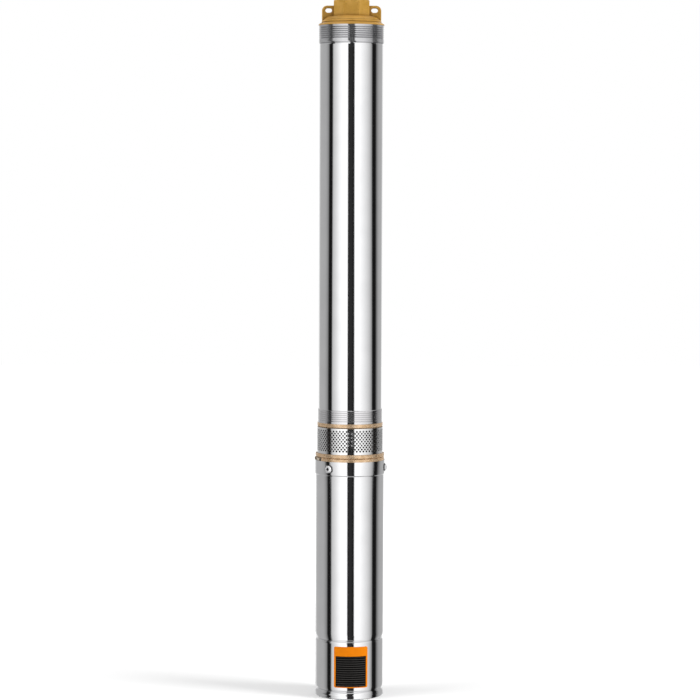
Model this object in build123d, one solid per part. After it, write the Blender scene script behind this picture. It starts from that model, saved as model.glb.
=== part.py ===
from build123d import *

import os
from math import cos, radians, sin, sqrt

# A borehole submersible pump, standing on its foot: an oil-filled motor below, a suction
# strainer in the middle and a multistage pump above. Millimetres, +Z up the shaft, with the
# origin at the centre of the bottom face. Azimuths count from the front (-Y) towards +X.

# Fits: radial unless the name says otherwise
slip = 0.1
stack_slip = 0.15
running = 0.5
face_play = 0.3
ball_play = 0.3

# Small edges that many pieces share, and how far a cutter runs past a face
rim_edge = 0.6
bevel = 1.0
overcut = 1.0

# Motor shell, a drawn tube with two rolled grooves and a belled top
shell_od = 96.0
shell_wall = 1.2
foot_od = 96.5
foot_corner = 2.5
foot_lip = 5.9
foot_height = 5.6
groove_od = 91.4
foot_round = 5.2
chamber_round = 5.7
chamber_od = 95.4
chamber_length = 62.9
waist_below = 2.9
waist_above = 9.1
bell_od = 98.2
bell_step = 2.1
bell_length = 18.4

# Motor bracket and the parts at its rim
bracket_lip_od = 97.0
bracket_lip = 4.3
bracket_depth = 46.1
bracket_roof = 9.4
bracket_wall = 5.8
bracket_hub_wall = 4.0
lip_round = 1.4
notch_floor = 41.0
notch_start = -98.0
notch_end = -56.0

# Suction casing and its strainer sleeve
flange_od = 97.0
flange_height = 5.6
flange_bore = 50.0
flange_edge = 1.0
ring_round = 2.2
strainer_od = 92.3
strainer_wall = 0.8
strainer_length = 36.5
strainer_step = 0.5
step_height = 0.3
land_height = 3.0
collar_od = 92.2
collar_height = 6.0
spigot_length = 21.0
casing_wall = 6.5
eye_plate = 2.6
leg_count = 4
leg_angle = 22.0
hole_rows = 6
hole_columns = 36
hole_od = 3.0
hole_sides = 6
hole_pitch = 5.3

# Pump tube, with a rolled thread band at each end
tube_od = 88.5
tube_wall = 1.5
band_od = 90.8
band_wall = 1.65
lower_band = 17.9
lower_step = 1.0
lower_grooves = 5
upper_band = 23.2
upper_step = 4.0
upper_grooves = 6
thread_pitch = 2.9
lower_groove_width = 1.4
lower_groove_depth = 0.4
upper_groove_width = 1.9
upper_groove_depth = 0.75
lower_first_groove = 3.9
upper_first_groove = 3.7

# Pumping stages
stage_count = 12
stage_pitch = 40.0
bowl_wall = 2.0
bowl_plate = 2.5
return_plate = 2.0
return_height = 18.0
return_gap = 5.6
bowl_vanes = 7
bowl_sweep = 58.0
vane_lead = 0.36
vane_wall = 1.6
eye_od = 34.0
neck_wall = 1.8
neck_reach = 2.2
impeller_od = 69.0
impeller_wall = 1.6
impeller_bottom = 4.0
impeller_passage = 8.0
impeller_vanes = 6
impeller_sweep = -62.0
hub_od = 17.0
hub_lift = 2.0
hub_hollow = 1.0
bowl_hub_wall = 3.0
bowl_hub_height = 9.0

# Pump shaft and what holds it
hex_flats = 11.0
hex_slip = 0.1
nut_flats = 17.0
nut_height = 8.0
journal_od = 10.4
journal_length = 26.0
bush_od = 18.0
bush_length = 14.0
bush_inset = 11.0
top_housing_height = 32.5
top_hub_wall = 4.0
top_hub_inset = 10.0
top_hub_height = 17.0
top_ribs = 5
rib_wall = 3.0
rib_height = 12.0
ring_wall = 4.0
coupling_od = 25.0
coupling_length = 46.0
coupling_web = 2.0

# Discharge head
head_skirt = 22.9
skirt_wall = 5.0
head_flange_od = 92.0
head_rim = 1.5
head_shoulder_od = 84.4
head_shoulder = 2.3
head_groove = 0.7
head_groove_depth = 1.0
head_ridge_od = 83.8
head_ridge = 2.5
head_ridge_round = 1.6
dome_od = 78.4
dome_rise = 0.9
dome_height = 4.9
dome_bulge = 1.2
neck_foot_od = 55.0
neck_flats = 49.8
neck_height = 25.2
neck_chamfer = 2.9
pipe_bore = 39.0
pipe_depth = 21.0
pipe_lead = 1.7
ear_span = 83.0
ear_thickness = 9.0
ear_top = 27.6
ear_corner = 7.4
ear_edge = 1.2
ear_sink = 1.0
eye_spacing = 64.1
eye_slot = 9.4
eye_slot_height = 6.5
eye_slot_level = 20.9
seal_wire = 2.4
seal_drop = 9.5

# Check valve inside the head
valve_bore = 36.4
seat_bore = 25.0
seat_plate = 5.0
valve_level = 3.4
valve_wall = 4.0
guide_height = 4.0
guide_ring = 2.4
guide_od = 38.0
guide_arms = 3
guide_arm = 2.6
guide_hub = 11.0
poppet_od = 29.0
poppet_height = 3.0
stem_od = 5.2
stem_engaged = 3.5
seal_thickness = 1.2
seal_width = 3.6
spring_wire = 1.1
spring_od = 10.4
spring_turns = 3

# Inside the motor
housing_rim = 9.4
housing_floor = 6.0
housing_wall = 4.0
coil_gap = 3.0
coil_head = 14.0
coil_crown = 3.0
coil_bore = 55.0
coil_od = 80.0
stator_length = 140.0
stator_bore = 49.0
slot_count = 24
slot_depth = 10.6
slot_width = 4.0
slot_mouth = 2.0
slot_inset = 2.5
bracket_gap = 17.0
rotor_play = 0.5
rotor_ring = 5.0
rotor_ring_step = 2.0
shaft_od = 20.0
lower_bore = 17.0
lower_outer = 40.0
lower_width = 12.0
lower_ball = 6.7
upper_bore = 20.0
upper_outer = 47.0
upper_width = 14.0
upper_ball = 7.9
ball_count = 8
race_shoulder = 0.55
cage_wall = 1.6
cage_overhang = 1.0
bearing_inset = 2.5
thrust_collar_od = 25.0
thrust_collar = 23.5
seal_journal_od = 18.0
seal_pocket_od = 34.0
seal_pocket = 24.0
seal_seat_height = 6.0
seal_head_height = 16.0
seal_lip = 3.0
spline_od = 15.0
spline_length = 27.5
slinger_gap = 2.0
slinger_od = 30.0
slinger_disc = 2.4
slinger_droop = 1.0
slinger_hub_od = 24.0
slinger_hub = 6.0

# Base of the motor
cover_height = 7.6
cover_od = 92.0
cover_chamfer = 2.5
vent_count = 4
vent_od = 3.0
vent_circle = 50.0
plug_od = 10.0
plug_head_od = 16.0
plug_head = 3.6
plug_socket = 5.0
diaphragm_rim = 8.2
diaphragm_bead = 3.0
diaphragm_wall = 2.0
diaphragm_height = 40.0
diaphragm_crown = 3.0

# Fasteners and cable gland
shell_screws_count = 3
shell_screw_azimuth = -37.0
shell_screw_drop = 10.3
screw_od = 6.0
screw_head_od = 10.5
screw_head = 3.5
socket_rim = 1.0
screw_socket = 4.0
screw_socket_depth = 2.0
screw_length = 9.0
dimple_width = 14.6
dimple_height = 12.1
dimple_depth = 0.5
bolt_count = 4
bolt_circle = 64.0
bolt_head_od = 10.0
bolt_head = 6.0
bolt_socket = 5.0
bolt_socket_depth = 3.0
bolt_length = 16.0
gland_proud = 0.6
gland_round = 0.9
gland_gap = 5.0
gland_play = 0.3
gland_slot = 12.0
gland_slot_height = 3.0

# Heights, worked out from the foot upwards
base_notch = foot_height + foot_round
chamber_bottom = base_notch + chamber_round
chamber_top = chamber_bottom + chamber_length
waist = chamber_top + waist_below
barrel_bottom = waist + waist_above
housing_top = barrel_bottom + housing_rim
lower_coil = housing_top + coil_gap
stator_bottom = lower_coil + coil_head
stator_top = stator_bottom + stator_length
upper_coil_top = stator_top + coil_head
bracket_bottom = upper_coil_top + bracket_gap
shell_top = bracket_bottom + bracket_depth
bell_bottom = shell_top - bell_length - bell_step
bracket_top = shell_top + bracket_lip
flange_top = bracket_top + flange_height
strainer_bottom = flange_top + step_height
strainer_top = strainer_bottom + strainer_length
collar_bottom = strainer_top + step_height
collar_top = collar_bottom + collar_height
stage_bottom = collar_top + spigot_length
stage_top = stage_bottom + stage_count * stage_pitch
skirt_bottom = stage_top + top_housing_height
tube_top = skirt_bottom + head_skirt
shoulder_top = tube_top + head_rim + head_shoulder
ridge_bottom = shoulder_top + head_groove
ridge_top = ridge_bottom + head_ridge
dome_bottom = ridge_top + dome_rise
neck_bottom = dome_bottom + dome_height
head_top = neck_bottom + neck_height
pipe_stop = head_top - pipe_depth
guide_bottom = pipe_stop - guide_height
seat_top = tube_top - valve_level
hub_bottom = stage_bottom + hub_lift
hub_top = hub_bottom + stage_count * stage_pitch
lower_bearing = housing_top - lower_width - bearing_inset
upper_bearing = bracket_bottom + bearing_inset
seal_top = upper_bearing + upper_width + seal_pocket
slinger_bottom = bracket_top + slinger_gap
coupling_bottom = slinger_bottom + slinger_hub + slinger_gap
coupling_top = coupling_bottom + coupling_length
spline_top = coupling_bottom + spline_length - slinger_gap * 2

# Radii that several pieces share
foot_r = foot_od / 2
groove_r = groove_od / 2
chamber_r = chamber_od / 2
shell_r = shell_od / 2
bell_r = bell_od / 2
shell_in = shell_r - shell_wall
bell_in = bell_r - shell_wall
groove_in = groove_r - shell_wall
tube_in = tube_od / 2 - tube_wall
band_in = band_od / 2 - band_wall
bowl_r = tube_in - stack_slip
strainer_in = strainer_od / 2 - strainer_wall
hub_r = hub_od / 2

# Bulge of a quarter circle of radius one that is convex on the right of its travel
quarter = sqrt(0.5) - 1


def runs(stops):
    """Edges through (radius, height) stops. A third value shapes the run that ends there:
    "leave" is an arc that starts upright, "arrive" one that ends upright, "ease" an S-curve
    that does both, and a number is an arc's bulge."""
    edges = []
    for before, stop in zip(stops, stops[1:]):
        start, end = before[:2], stop[:2]
        shape = stop[2] if len(stop) > 2 else None
        rise = end[1] - start[1]
        if shape is None:
            edges.append(Line(start, end))
        elif shape == "leave":
            edges.append(TangentArc(start, end, tangent=(0, rise)))
        elif shape == "arrive":
            edges.append(TangentArc(end, start, tangent=(0, -rise)))
        elif shape == "ease":
            middle = ((start[0] + end[0]) / 2, (start[1] + end[1]) / 2)
            edges.append(TangentArc(start, middle, tangent=(0, rise)))
            edges.append(TangentArc(end, middle, tangent=(0, -rise)))
        else:
            edges.append(SagittaArc(start, end, shape))
    return edges


def spun(edges):
    """Solid of revolution about the shaft line."""
    return revolve(Plane.XZ * make_face(edges), Axis.Z)


def turned(*stops):
    """Solid of revolution whose closed outline goes round the stops."""
    return spun(runs([*stops, stops[0][:2]]))


def walled(outer, inner):
    """Solid of revolution between two lines that both run upwards."""
    ends = [Line(outer[0][:2], inner[0][:2]), Line(outer[-1][:2], inner[-1][:2])]
    return spun(runs(outer) + runs(inner) + ends)


def washer(outer_r, inner_r, bottom, top):
    """Plain ring between two heights."""
    return turned((inner_r, bottom), (outer_r, bottom), (outer_r, top), (inner_r, top))


def rod(radius, bottom, top):
    """Plain round bar between two heights."""
    return turned((0, bottom), (radius, bottom), (radius, top), (0, top))


def hexagon(flats, bottom, top):
    """Upright hexagonal bar, measured across its flats."""
    outline = RegularPolygon(flats / 2, 6, major_radius=False)
    return Pos(0, 0, bottom) * extrude(outline, top - bottom)


def around(count, first=0.0):
    """Turns about the shaft line, evenly spaced."""
    return [Rot(0, 0, first + n * 360 / count) for n in range(count)]


def polar(radius, angle):
    return (radius * cos(radians(angle)), radius * sin(radians(angle)))


def vane(inner_r, outer_r, sweep, wall, bottom, top):
    """Curved blade of even thickness between two radii."""
    middle_r = (inner_r + outer_r) / 2
    line = ThreePointArc(polar(inner_r, 0), polar(middle_r, sweep * vane_lead), polar(outer_r, sweep))
    return Pos(0, 0, bottom) * extrude(SlotArc(line, wall), top - bottom)


def on_wall(azimuth, radius, height):
    """Place on the outside of the body, with +Z pointing straight out."""
    return Rot(0, 0, azimuth) * Pos(0, -radius, height) * Rot(90, 0, 0)


# Motor shell

def shell_line(inset):
    """The shell's wall from the foot corner to the bell's rim, inset from its outer face."""
    return [
        (foot_r - foot_corner, inset),
        (foot_r - inset, foot_corner, quarter * (foot_corner - inset)),
        (foot_r - inset, foot_height),
        (groove_r - inset, base_notch, "leave"),
        (chamber_r - inset, chamber_bottom, "arrive"),
        (chamber_r - inset, chamber_top),
        (groove_r - inset, waist, "leave"),
        (shell_r - inset, barrel_bottom, "arrive"),
        (shell_r - inset, bell_bottom),
        (bell_r - inset, bell_bottom + bell_step, "ease"),
        (bell_r - inset, shell_top),
    ]


def screw_places(radius):
    """Where the shell screws sit, out to a radius."""
    height = shell_top - shell_screw_drop
    return [turn * on_wall(shell_screw_azimuth, radius, height) for turn in around(shell_screws_count)]


def motor_shell():
    lip_r = foot_r - foot_corner - foot_lip
    outer = [(lip_r, 0)] + shell_line(0)
    inner = [(lip_r, shell_wall)] + shell_line(shell_wall)
    shell = walled(outer, inner)
    dimple = extrude(Ellipse(dimple_width / 2, dimple_height / 2), shell_wall)
    hole = Cylinder(screw_od / 2 + slip, 4 * shell_wall)
    for place in screw_places(bell_r - dimple_depth):
        shell = shell - place * dimple - place * hole
    return shell


# Motor bracket: the lid of the motor, which carries the upper bearing and the seal

def bracket_notch():
    """Sector cut from the lip, where the cable gland sits."""
    face = Pos(bracket_lip_od / 2, shell_top + bracket_lip / 2) * Rectangle(
        2 * (bracket_lip_od / 2 - notch_floor), bracket_lip
    )
    start = Rot(0, 0, notch_start - 90)
    return start * revolve(Plane.XZ * face, Axis.Z, notch_end - notch_start)


def motor_bracket():
    lip_r = bracket_lip_od / 2
    spigot_r = bell_in - slip
    body_r = shell_in - slip
    pocket_r = upper_outer / 2 + slip
    step = bell_bottom + bell_step + face_play
    shoulder = upper_bearing + upper_width
    roof = bracket_top - bracket_roof
    hub_wall_r = pocket_r + bracket_hub_wall
    body = turned(
        (pocket_r, bracket_bottom),
        (hub_wall_r, bracket_bottom),
        (hub_wall_r - bevel, roof),
        (body_r - bracket_wall, roof),
        (body_r - bracket_wall, bracket_bottom),
        (body_r, bracket_bottom),
        (body_r, step),
        (spigot_r, step),
        (spigot_r, shell_top),
        (lip_r, shell_top),
        (lip_r, bracket_top - lip_round),
        (lip_r - lip_round, bracket_top, quarter * lip_round),
        (seal_journal_od / 2 + running, bracket_top),
        (seal_journal_od / 2 + running, seal_top),
        (seal_pocket_od / 2, seal_top),
        (seal_pocket_od / 2, shoulder),
        (pocket_r, shoulder),
    )
    tapped = Cylinder(screw_od / 2 + slip, 2 * screw_length)
    for place in screw_places(bell_r - dimple_depth - screw_length / 2):
        body -= place * tapped
    for turn in around(bolt_count):
        body -= turn * Pos(bolt_circle / 2, 0, roof) * Cylinder(screw_od / 2 + slip, 3 * bracket_roof)
    return body - bracket_notch()


def cable_gland():
    """Moulded block in the notch, with the flat opening that the cable leaves by."""
    inner_r = notch_floor + slip
    outer_r = bell_r + gland_proud
    bottom = shell_top + gland_play
    top = bracket_top - gland_play
    face = Pos((inner_r + outer_r) / 2, (bottom + top) / 2) * Rectangle(outer_r - inner_r, top - bottom)
    face = fillet(face.vertices().group_by(Axis.X)[-1], gland_round)
    sweep = notch_end - notch_start - 2 * gland_gap
    start = Rot(0, 0, notch_start + gland_gap - 90)
    block = start * revolve(Plane.XZ * face, Axis.Z, sweep)
    middle = (notch_start + notch_end) / 2
    opening = extrude(SlotOverall(gland_slot, gland_slot_height), outer_r)
    return block - on_wall(middle, inner_r - overcut, (bottom + top) / 2) * opening


# Screws

def socket_screw(head_od, head, crown, socket, socket_depth, length):
    """Screw with its head's underside at zero: a crown above, the shank below."""
    head_r = head_od / 2
    top_r = socket / 2 + socket_rim
    shank_r = screw_od / 2
    body = turned(
        (0, -length),
        (shank_r - bevel, -length),
        (shank_r, bevel - length),
        (shank_r, 0),
        (head_r, 0),
        (head_r, head - crown),
        (top_r, head, -crown / 4),
        (0, head),
    )
    return body - hexagon(socket, head - socket_depth, head + overcut)


def shell_screws():
    crown = screw_head - rim_edge
    screw = socket_screw(screw_head_od, screw_head, crown, screw_socket, screw_socket_depth, screw_length)
    return [place * screw for place in screw_places(bell_r - dimple_depth)]


def suction_bolts():
    bolt = socket_screw(bolt_head_od, bolt_head, rim_edge, bolt_socket, bolt_socket_depth, bolt_length)
    return [turn * Pos(bolt_circle / 2, 0, flange_top) * bolt for turn in around(bolt_count)]


# Suction casing and strainer

def suction_casing():
    flange_r = flange_od / 2
    collar_r = collar_od / 2
    land_r = strainer_in - slip
    step_r = land_r + strainer_step
    inner_r = land_r - casing_wall
    spigot_r = band_in - slip
    spigot_step = collar_top + lower_band - face_play
    eye_r = eye_od / 2 + running
    window_bottom = strainer_bottom + land_height
    window_top = strainer_top - land_height
    mouth = collar_top + collar_height
    body = turned(
        (flange_bore / 2, bracket_top),
        (flange_r - ring_round, bracket_top),
        (flange_r, bracket_top + ring_round, quarter * ring_round),
        (flange_r, flange_top - flange_edge),
        (flange_r - flange_edge, flange_top, quarter * flange_edge),
        (step_r, flange_top),
        (step_r, strainer_bottom),
        (land_r, strainer_bottom),
        (land_r, strainer_top),
        (step_r, strainer_top),
        (step_r, collar_bottom),
        (collar_r - ring_round, collar_bottom),
        (collar_r, collar_bottom + ring_round, quarter * ring_round),
        (collar_r, collar_top - rim_edge),
        (collar_r - rim_edge, collar_top, quarter * rim_edge),
        (spigot_r, collar_top),
        (spigot_r, spigot_step),
        (bowl_r, spigot_step),
        (bowl_r, stage_bottom),
        (eye_r, stage_bottom),
        (eye_r, stage_bottom - eye_plate),
        (eye_r + casing_wall, stage_bottom - eye_plate),
        (inner_r, mouth),
        (inner_r, flange_top),
        (flange_bore / 2, flange_top),
    )
    gap = 360 / leg_count - leg_angle
    mid_r = (inner_r + land_r) / 2
    face = Pos(mid_r, (window_bottom + window_top) / 2) * Rectangle(
        2 * casing_wall, window_top - window_bottom
    )
    window = revolve(Plane.XZ * face, Axis.Z, gap)
    for turn in around(leg_count, leg_angle / 2 + 180 / leg_count):
        body -= turn * window
    hole = Cylinder(screw_od / 2 + slip, 3 * flange_height)
    for turn in around(bolt_count):
        body -= turn * Pos(bolt_circle / 2, 0, flange_top) * hole
    return body


def strainer():
    sleeve = washer(strainer_od / 2, strainer_in, strainer_bottom, strainer_top)
    hole = extrude(RegularPolygon(hole_od / 2, hole_sides), 2 * strainer_wall, both=True)
    first_row = (strainer_bottom + strainer_top - (hole_rows - 1) * hole_pitch) / 2
    holes = []
    for row in range(hole_rows):
        shift = (row % 2) * 180 / hole_columns
        height = first_row + row * hole_pitch
        place = on_wall(0, strainer_od / 2, height)
        holes += [turn * place * hole for turn in around(hole_columns, shift)]
    return sleeve - holes


# Pump tube

def thread_band(first, count, width, depth):
    """Rolled grooves in the outside of the tube, from their lowest centre upwards."""
    stops = []
    for n in range(count):
        middle = first + n * thread_pitch
        stops.append((band_od / 2, middle - width / 2))
        stops.append((band_od / 2, middle + width / 2, depth))
    return stops


def tube_line(radius, band_radius):
    """The tube's wall between its two thread bands."""
    return [
        (band_radius, collar_top + lower_band),
        (radius, collar_top + lower_band + lower_step, "ease"),
        (radius, tube_top - upper_band - upper_step),
        (band_radius, tube_top - upper_band, "ease"),
    ]


def pump_tube():
    band_r = band_od / 2
    lower_first = collar_top + lower_first_groove
    upper_first = tube_top - upper_first_groove - (upper_grooves - 1) * thread_pitch
    outer = [(band_r, collar_top)]
    outer += thread_band(lower_first, lower_grooves, lower_groove_width, lower_groove_depth)
    outer += tube_line(tube_od / 2, band_r)
    outer += thread_band(upper_first, upper_grooves, upper_groove_width, upper_groove_depth)
    outer += [(band_r, tube_top)]
    inner = [(band_in, collar_top)] + tube_line(tube_in, band_in) + [(band_in, tube_top)]
    return walled(outer, inner)


# Pumping stages, modelled at the first stage and moved up by the pitch

def impeller():
    neck_r = eye_od / 2
    tip_r = impeller_od / 2
    shroud_top = impeller_bottom + impeller_wall
    disc_bottom = shroud_top + impeller_passage
    disc_top = disc_bottom + impeller_wall
    front = turned(
        (neck_r - neck_wall, -neck_reach),
        (neck_r, -neck_reach),
        (neck_r, impeller_bottom),
        (tip_r, impeller_bottom),
        (tip_r, shroud_top),
        (neck_r + bevel, shroud_top),
        (neck_r - neck_wall, shroud_top - bevel, quarter * bevel),
    )
    back = turned(
        (0, hub_lift),
        (hub_r, hub_lift),
        (hub_r, shroud_top),
        (hub_r + neck_wall, disc_bottom, hub_hollow),
        (tip_r, disc_bottom),
        (tip_r, disc_top),
        (hub_r + neck_wall, disc_top),
        (hub_r, disc_top + neck_wall, -quarter * neck_wall),
        (hub_r, hub_lift + stage_pitch),
        (0, hub_lift + stage_pitch),
    )
    sink = impeller_wall / 2
    blade = vane(neck_r + bevel, tip_r - vane_wall, impeller_sweep, vane_wall, shroud_top - sink,
                 disc_bottom + sink)
    wheel = front + back + [turn * blade for turn in around(impeller_vanes)]
    bore = hexagon(hex_flats + 2 * hex_slip, hub_lift - overcut, hub_lift + stage_pitch + overcut)
    return wheel - bore


def diffuser():
    wall_r = bowl_r - bowl_wall
    eye_r = eye_od / 2 + running
    bore_r = hub_r + running
    hub_outer_r = bore_r + bowl_hub_wall
    plate_bottom = stage_pitch - bowl_plate
    return_top = return_height + return_plate
    bowl = turned(
        (wall_r, 0),
        (bowl_r, 0),
        (bowl_r, stage_pitch),
        (eye_r, stage_pitch),
        (eye_r, plate_bottom),
        (wall_r - bowl_wall, plate_bottom),
        (wall_r, plate_bottom - bowl_wall, -quarter * bowl_wall),
    )
    plate = turned(
        (bore_r, return_height),
        (wall_r - return_gap, return_height),
        (wall_r - return_gap, return_top),
        (hub_outer_r + bowl_hub_wall, return_top),
        (hub_outer_r, return_top + bowl_hub_wall, -quarter * bowl_hub_wall),
        (hub_outer_r, return_height + bowl_hub_height),
        (bore_r, return_height + bowl_hub_height),
    )
    sink = return_plate / 2
    blade = vane(eye_r + vane_wall, wall_r + sink / 2, bowl_sweep, vane_wall, return_top - sink,
                 plate_bottom + sink)
    return bowl + plate + [turn * blade for turn in around(bowl_vanes)]


# Pump shaft

def pump_shaft():
    nose_r = journal_od / 2
    top = hub_top + journal_length
    hexed = hexagon(hex_flats, spline_top + coupling_web, hub_top)
    journal = turned((0, hub_top), (nose_r, hub_top), (nose_r, top - bevel), (nose_r - bevel, top),
                     (0, top))
    return hexed + journal


def shaft_lock_nut():
    bore = rod(journal_od / 2 + slip, hub_top - overcut, hub_top + nut_height + overcut)
    return hexagon(nut_flats, hub_top, hub_top + nut_height) - bore


def top_bearing_housing():
    hub_in = bush_od / 2 + slip
    hub_out = hub_in + top_hub_wall
    ring_in = bowl_r - ring_wall
    hub_floor = stage_top + top_hub_inset
    ring = washer(bowl_r, ring_in, stage_top, skirt_bottom)
    hub = turned(
        (hub_in, hub_floor),
        (hub_out, hub_floor),
        (hub_out, hub_floor + top_hub_height - bevel),
        (hub_out - bevel, hub_floor + top_hub_height),
        (hub_in, hub_floor + top_hub_height),
    )
    span = ring_in - hub_out + ring_wall
    rib_middle = hub_floor + bevel + rib_height / 2
    rib = Pos(hub_out - bevel + span / 2, 0, rib_middle) * Box(span, rib_wall, rib_height)
    return ring + hub + [turn * rib for turn in around(top_ribs)]


def top_bearing_bush():
    bottom = stage_top + bush_inset
    return washer(bush_od / 2, journal_od / 2 + slip, bottom, bottom + bush_length)


def coupling():
    sleeve = turned(
        (0, coupling_bottom),
        (coupling_od / 2 - bevel, coupling_bottom),
        (coupling_od / 2, coupling_bottom + bevel),
        (coupling_od / 2, coupling_top - bevel),
        (coupling_od / 2 - bevel, coupling_top),
        (hub_r, coupling_top),
        (hub_r, hub_bottom),
        (0, hub_bottom),
    )
    splined = rod(spline_od / 2 + slip, coupling_bottom - overcut, spline_top)
    hexed = hexagon(hex_flats + 2 * hex_slip, spline_top + coupling_web, hub_bottom + overcut)
    return sleeve - splined - hexed


# Discharge head

def head_body():
    """Skirt, sloped flange, ridge and dome in one turning."""
    skirt_r = band_in - slip
    groove_top = tube_top - seal_drop
    groove_bottom = groove_top - seal_wire - face_play
    groove_floor = skirt_r - seal_wire
    shoulder_r = head_shoulder_od / 2
    ridge_r = head_ridge_od / 2
    return turned(
        (0, skirt_bottom),
        (skirt_r - rim_edge, skirt_bottom),
        (skirt_r, skirt_bottom + rim_edge),
        (skirt_r, groove_bottom),
        (groove_floor, groove_bottom),
        (groove_floor, groove_top),
        (skirt_r, groove_top),
        (skirt_r, tube_top),
        (head_flange_od / 2, tube_top),
        (head_flange_od / 2, tube_top + head_rim),
        (shoulder_r, shoulder_top),
        (ridge_r - head_groove_depth, shoulder_top),
        (ridge_r - head_groove_depth, ridge_bottom),
        (ridge_r, ridge_bottom),
        (ridge_r, ridge_top - head_ridge_round),
        (ridge_r - head_ridge_round, ridge_top, quarter * head_ridge_round),
        (dome_od / 2, ridge_top),
        (dome_od / 2, dome_bottom),
        (neck_foot_od / 2, neck_bottom, -dome_bulge),
        (0, neck_bottom),
    )


def head_cavity():
    """Space above the last bearing, round the valve tube that hangs in it."""
    inner_r = band_in - slip - skirt_wall
    tube_r = valve_bore / 2 + valve_wall
    return turned(
        (0, skirt_bottom - overcut),
        (inner_r, skirt_bottom - overcut),
        (inner_r, ridge_top - skirt_wall),
        (inner_r - skirt_wall, ridge_top, quarter * skirt_wall),
        (tube_r, ridge_top),
        (tube_r, seat_top - seat_plate),
        (0, seat_top - seat_plate),
    )


def head_neck():
    """Octagon for the spanner, with its top corners turned off."""
    outline = RegularPolygon(neck_flats / 2, 8, major_radius=False, rotation=22.5)
    blank = Pos(0, 0, dome_bottom) * extrude(outline, head_top - dome_bottom)
    rim_r = neck_flats / 2 - neck_chamfer
    limit = turned(
        (0, dome_bottom),
        (neck_flats, dome_bottom),
        (neck_flats, head_top - neck_flats + rim_r),
        (rim_r, head_top),
        (0, head_top),
    )
    return blank & limit


def head_ears():
    """Bar across the neck whose two ends are the rope ears."""
    bottom = shoulder_top - ear_sink
    height = tube_top + ear_top - bottom
    outline = Rectangle(ear_span, height)
    outline = fillet(outline.vertices().group_by(Axis.Y)[-1], ear_corner)
    bar = extrude(Plane.XZ * outline, ear_thickness / 2, both=True)
    front = bar.faces().sort_by(Axis.Y)[0]
    back = bar.faces().sort_by(Axis.Y)[-1]
    bar = fillet(front.edges() + back.edges(), ear_edge)
    return Pos(0, 0, bottom + height / 2) * bar


def head_bores():
    """Threaded bore, valve chamber and seat, as one plug."""
    pipe_r = pipe_bore / 2
    return turned(
        (0, seat_top - seat_plate - overcut),
        (seat_bore / 2, seat_top - seat_plate - overcut),
        (seat_bore / 2, seat_top),
        (valve_bore / 2, seat_top),
        (valve_bore / 2, guide_bottom),
        (guide_od / 2 + slip, guide_bottom),
        (guide_od / 2 + slip, pipe_stop),
        (pipe_r, pipe_stop),
        (pipe_r, head_top - pipe_lead),
        (pipe_r + pipe_lead, head_top),
        (pipe_r + pipe_lead, head_top + overcut),
        (0, head_top + overcut),
    )


def discharge_head():
    head = head_body() + head_neck() + head_ears() - head_cavity() - head_bores()
    slot = Plane.XZ * extrude(SlotOverall(eye_slot, eye_slot_height), ear_span, both=True)
    for side in (-1, 1):
        head -= Pos(side * eye_spacing / 2, 0, tube_top + eye_slot_level) * slot
    return head


def head_seal_ring():
    wire_r = seal_wire / 2
    middle = tube_top - seal_drop - seal_wire / 2 - face_play / 2
    return Pos(0, 0, middle) * Torus(band_in - wire_r - slip / 2, wire_r - slip / 2)


# Check valve

def valve_guide():
    ring_r = guide_od / 2
    ring_in = ring_r - guide_ring
    bore_r = stem_od / 2 + ball_play
    ring = washer(ring_r, ring_in, guide_bottom, pipe_stop)
    hub = washer(guide_hub / 2, bore_r, guide_bottom, pipe_stop)
    span = ring_in - bore_r
    arm_middle = bore_r + bevel + span / 2
    arm = Pos(arm_middle, 0, guide_bottom + guide_height / 2) * Box(span, guide_arm, guide_height)
    return ring + hub + [turn * arm for turn in around(guide_arms)]


def valve_poppet():
    bottom = seat_top + slip
    disc_bottom = bottom + seal_thickness
    disc_top = disc_bottom + poppet_height
    tip = guide_bottom + stem_engaged
    boss_r = poppet_od / 2 - seal_width - slip
    return turned(
        (0, bottom),
        (boss_r, bottom),
        (boss_r, disc_bottom),
        (poppet_od / 2, disc_bottom),
        (poppet_od / 2, disc_top - rim_edge),
        (poppet_od / 2 - rim_edge, disc_top),
        (stem_od / 2, disc_top),
        (stem_od / 2, tip - rim_edge),
        (stem_od / 2 - rim_edge, tip),
        (0, tip),
    )


def valve_seal():
    bottom = seat_top + slip
    return washer(poppet_od / 2, poppet_od / 2 - seal_width, bottom, bottom + seal_thickness)


def valve_spring():
    wire_r = spring_wire / 2
    coil_r = (spring_od - spring_wire) / 2
    low = seat_top + slip + seal_thickness + poppet_height + wire_r + slip
    high = guide_bottom - wire_r - slip
    line = Helix((high - low) / spring_turns, high - low, coil_r)
    section = Plane(line @ 0, z_dir=line % 0) * Circle(wire_r)
    return Pos(0, 0, low) * sweep(section, path=line)


# Bearings

def race_arc(ball_r):
    """Half width and bulge of a race, for a ball with play all round it."""
    race_r = ball_r + ball_play
    shoulder = race_r * race_shoulder
    return shoulder, sqrt(race_r**2 - shoulder**2), race_r - shoulder


def outer_ring(bottom, bore_od, outer_od, width, ball_od):
    shoulder, half, bulge = race_arc(ball_od / 2)
    land_r = (bore_od + outer_od) / 4 + shoulder
    middle = bottom + width / 2
    return turned(
        (outer_od / 2, bottom),
        (outer_od / 2, bottom + width),
        (land_r, bottom + width),
        (land_r, middle + half),
        (land_r, middle - half, bulge),
        (land_r, bottom),
    )


def inner_ring(bottom, bore_od, outer_od, width, ball_od):
    shoulder, half, bulge = race_arc(ball_od / 2)
    land_r = (bore_od + outer_od) / 4 - shoulder
    middle = bottom + width / 2
    return turned(
        (bore_od / 2, bottom),
        (land_r, bottom),
        (land_r, middle - half),
        (land_r, middle + half, bulge),
        (land_r, bottom + width),
        (bore_od / 2, bottom + width),
    )


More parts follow.
